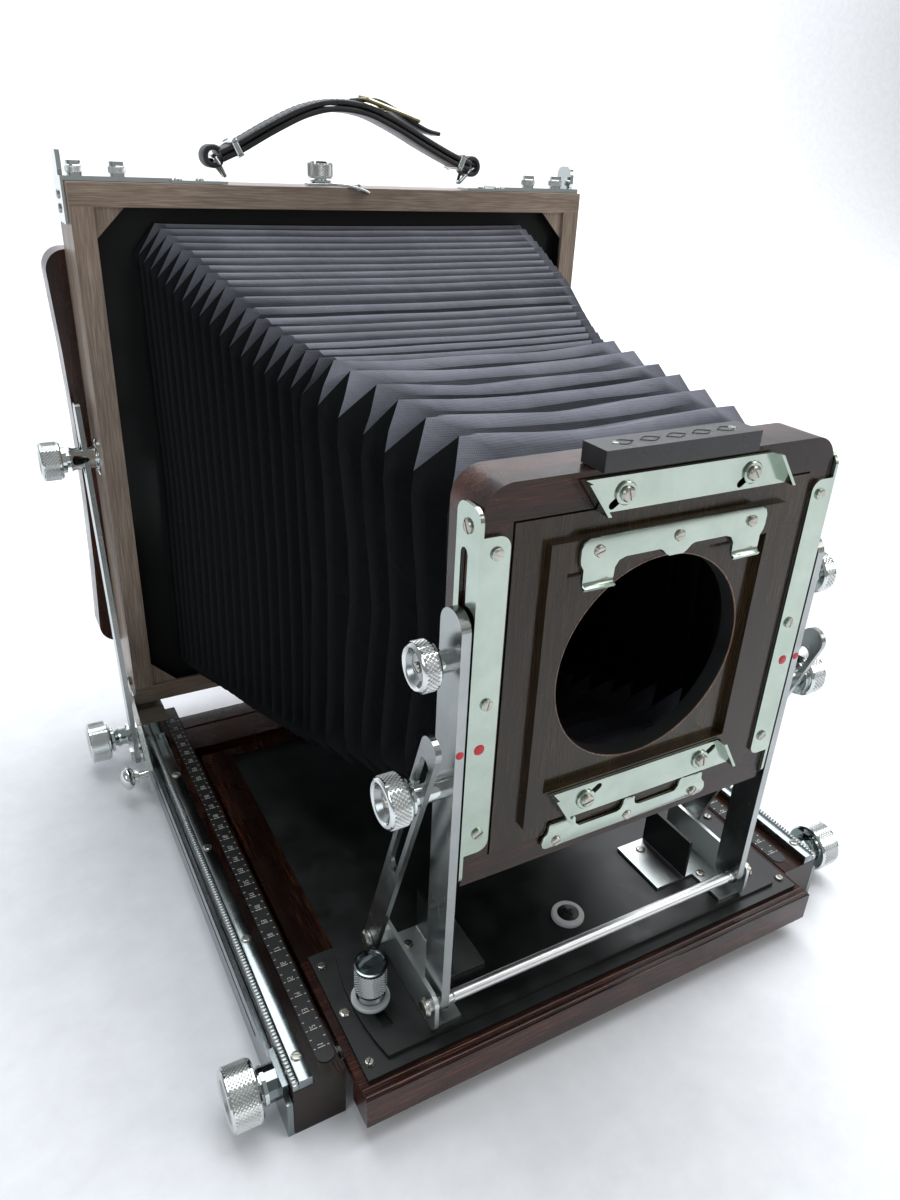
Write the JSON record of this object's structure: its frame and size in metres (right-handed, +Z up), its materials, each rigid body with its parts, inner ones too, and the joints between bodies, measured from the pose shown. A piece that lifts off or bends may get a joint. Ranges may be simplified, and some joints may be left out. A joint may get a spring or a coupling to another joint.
{
  "type": "folding view camera",
  "caption": "Wooden folding view camera with tapered bellows, chrome standards and rails, knobs for focus, rise, tilt and swing, an open lens board and a carrying strap.",
  "frame": {"origin": "on the supporting surface, under the centre of the bounding box", "axes": "the lens board faces -Y, the ground glass faces +Y, +Z is up and +X is to the right seen from the front"},
  "size_m": [0.392, 0.382, 0.4137],
  "materials": {
    "wood": "dark lacquered hardwood",
    "chrome": "polished chrome plate, knurled grips",
    "black_metal": "satin black enamel",
    "bellows_cloth": "matte black coated cloth",
    "leather": "black stitched leather",
    "frosted_glass": "ground glass"
  },
  "bodies": {
    "bed": {"rail_left": "wood", "rail_right": "wood", "side_plate_left": "chrome", "side_plate_right": "chrome", "rack_strip_left": "chrome", "rack_strip_right": "chrome", "bed_base": "wood", "tripod_plate": "chrome"},
    "front_slide": {"front_board": "wood", "slide_frame": "wood", "slide_panel": "black_metal", "slide_plate": "black_metal", "bellows_3": "bellows_cloth"},
    "focus_spindle": {"focus_shaft": "chrome", "focus_knob_left": "chrome", "focus_knob_right": "chrome"},
    "swing_base": {"swing_plate": "black_metal", "foot_bracket_left": "chrome", "foot_bracket_right": "chrome", "cross_rod": "chrome", "bellows_4": "bellows_cloth"},
    "swing_lock": {"swing_lock_knob": "chrome"},
    "legs": {"leg_left": "chrome", "leg_right": "chrome", "bellows_5": "bellows_cloth"},
    "arms": {"arm_left": "chrome", "arm_right": "chrome"},
    "front_standard": {"front_frame": "wood", "angle_plate_left": "chrome", "angle_plate_right": "chrome", "lens_board": "wood", "top_bracket": "chrome", "bottom_bracket": "chrome", "level_block": "black_metal", "bellows_6": "bellows_cloth"},
    "board_lock": {"top_slider": "chrome"},
    "small_board_lock": {"bottom_slider": "chrome"},
    "rear_carriage": {"carriage_left": "chrome", "carriage_right": "chrome", "bellows_2": "bellows_cloth"},
    "rear_standard": {"rear_frame": "wood", "top_plate_left": "chrome", "top_plate_right": "chrome", "bellows_1": "bellows_cloth"},
    "braces": {"brace_left": "chrome", "brace_right": "chrome"},
    "spring_back": {"back_frame": "wood", "ground_glass": "frosted_glass"},
    "handle": {"handle_strap": "leather"},
    "latch": {"latch_knob": "chrome"},
    "tilt_knob_l": {"tilt_knob_left": "chrome"},
    "rise_knob_l": {"rise_knob_left": "chrome"},
    "rear_focus_l": {"rear_focus_knob_left": "chrome"},
    "rear_lock_l": {"rear_lock_left": "chrome"},
    "rear_tilt_knob_l": {"rear_tilt_knob_left": "chrome"},
    "tilt_knob_r": {"tilt_knob_right": "chrome"},
    "rise_knob_r": {"rise_knob_right": "chrome"},
    "rear_focus_r": {"rear_focus_knob_right": "chrome"},
    "rear_lock_r": {"rear_lock_right": "chrome"},
    "rear_tilt_knob_r": {"rear_tilt_knob_right": "chrome"}
  },
  "joints": [
    {"name": "front_focus", "type": "slide", "parent": "bed", "child": "front_slide", "axis": [0, -1, 0], "range_m": [-0.01, 0.1], "deforming": ["bellows_3"]},
    {"name": "focus_turn", "type": "hinge", "parent": "bed", "child": "focus_spindle", "pos_m": [0, -0.157, 0.0195], "axis": [1, 0, 0], "range_deg": [-110, 1050]},
    {"name": "front_swing", "type": "hinge", "parent": "front_slide", "child": "swing_base", "pos_m": [0, -0.147, 0.033], "axis": [0, 0, 1], "range_deg": [-6, 6], "deforming": ["bellows_4"]},
    {"name": "swing_lock_turn", "type": "hinge", "parent": "front_slide", "child": "swing_lock", "pos_m": [-0.1128, -0.147, 0.048], "axis": [0, 0, 1], "range_deg": [0, 180]},
    {"name": "base_tilt", "type": "hinge", "parent": "swing_base", "child": "legs", "pos_m": [0, -0.173, 0.0475], "axis": [1, 0, 0], "range_deg": [-6, 6], "deforming": ["bellows_5"]},
    {"name": "arm_fold", "type": "hinge", "parent": "swing_base", "child": "arms", "pos_m": [0, -0.124, 0.045], "axis": [1, 0, 0], "range_deg": [-5.5, 5.5]},
    {"name": "front_rise", "type": "slide", "parent": "legs", "child": "front_standard", "axis": [0, 0, 1], "range_m": [-0.02, 0.025], "deforming": ["bellows_6"]},
    {"name": "board_lock_shift", "type": "slide", "parent": "front_standard", "child": "board_lock", "axis": [0.8191, 0, 0.5736], "range_m": [0, 0.004]},
    {"name": "small_board_lock_shift", "type": "slide", "parent": "front_standard", "child": "small_board_lock", "axis": [-0.8191, 0, -0.5736], "range_m": [0, 0.006]},
    {"name": "rear_focus", "type": "slide", "parent": "bed", "child": "rear_carriage", "axis": [0, -1, 0], "range_m": [0, 0.035], "deforming": ["bellows_2"]},
    {"name": "rear_tilt", "type": "hinge", "parent": "rear_carriage", "child": "rear_standard", "pos_m": [0, 0.147, 0.054], "axis": [1, 0, 0], "range_deg": [-5, 5], "deforming": ["bellows_1"]},
    {"name": "brace_fold", "type": "hinge", "parent": "rear_carriage", "child": "braces", "pos_m": [0, 0.103, 0.024], "axis": [1, 0, 0], "range_deg": [-4.2, 4.2]},
    {"name": "back_open", "type": "slide", "parent": "rear_standard", "child": "spring_back", "axis": [0, 1, 0], "range_m": [0, 0.012], "stiffness_N_per_m": 1500, "springref_m": -0.01},
    {"name": "handle_swing", "type": "hinge", "parent": "rear_standard", "child": "handle", "pos_m": [0, 0.136, 0.3715], "axis": [1, 0, 0], "range_deg": [-40, 50]},
    {"name": "latch_turn", "type": "hinge", "parent": "rear_standard", "child": "latch", "pos_m": [-0.019, 0.138, 0.372], "axis": [0, 0, 1], "range_deg": [0, 180]},
    {"name": "tilt_knob_left_turn", "type": "hinge", "parent": "legs", "child": "tilt_knob_l", "pos_m": [0, -0.1665, 0.165], "axis": [1, 0, 0], "range_deg": [0, 270]},
    {"name": "rise_knob_left_turn", "type": "hinge", "parent": "legs", "child": "rise_knob_l", "pos_m": [0, -0.167, 0.223], "axis": [1, 0, 0], "range_deg": [0, 270]},
    {"name": "rear_focus_left_turn", "type": "hinge", "parent": "rear_carriage", "child": "rear_focus_l", "pos_m": [0, 0.132, 0.021], "axis": [1, 0, 0], "range_deg": [-5, 290]},
    {"name": "rear_lock_left_turn", "type": "hinge", "parent": "rear_carriage", "child": "rear_lock_l", "pos_m": [0, 0.086, 0.019], "axis": [1, 0, 0], "range_deg": [0, 270]},
    {"name": "rear_tilt_knob_left_turn", "type": "hinge", "parent": "rear_standard", "child": "rear_tilt_knob_l", "pos_m": [0, 0.148, 0.214], "axis": [1, 0, 0], "range_deg": [0, 270]},
    {"name": "tilt_knob_right_turn", "type": "hinge", "parent": "legs", "child": "tilt_knob_r", "pos_m": [0, -0.1665, 0.165], "axis": [1, 0, 0], "range_deg": [0, 270]},
    {"name": "rise_knob_right_turn", "type": "hinge", "parent": "legs", "child": "rise_knob_r", "pos_m": [0, -0.167, 0.223], "axis": [1, 0, 0], "range_deg": [0, 270]},
    {"name": "rear_focus_right_turn", "type": "hinge", "parent": "rear_carriage", "child": "rear_focus_r", "pos_m": [0, 0.132, 0.021], "axis": [1, 0, 0], "range_deg": [-5, 290]},
    {"name": "rear_lock_right_turn", "type": "hinge", "parent": "rear_carriage", "child": "rear_lock_r", "pos_m": [0, 0.086, 0.019], "axis": [1, 0, 0], "range_deg": [0, 270]},
    {"name": "rear_tilt_knob_right_turn", "type": "hinge", "parent": "rear_standard", "child": "rear_tilt_knob_r", "pos_m": [0, 0.148, 0.214], "axis": [1, 0, 0], "range_deg": [0, 270]}
  ],
  "couplings": [
    {"joint": "focus_turn", "follows": "front_focus", "rad_per_m": 181.82},
    {"joint": "arm_fold", "follows": "base_tilt", "ratio": 0.853},
    {"joint": "brace_fold", "follows": "rear_tilt", "ratio": 0.7986},
    {"joint": "rear_focus_left_turn", "follows": "rear_focus", "rad_per_m": 142.86},
    {"joint": "rear_focus_right_turn", "follows": "rear_focus", "rad_per_m": 142.86}
  ]
}
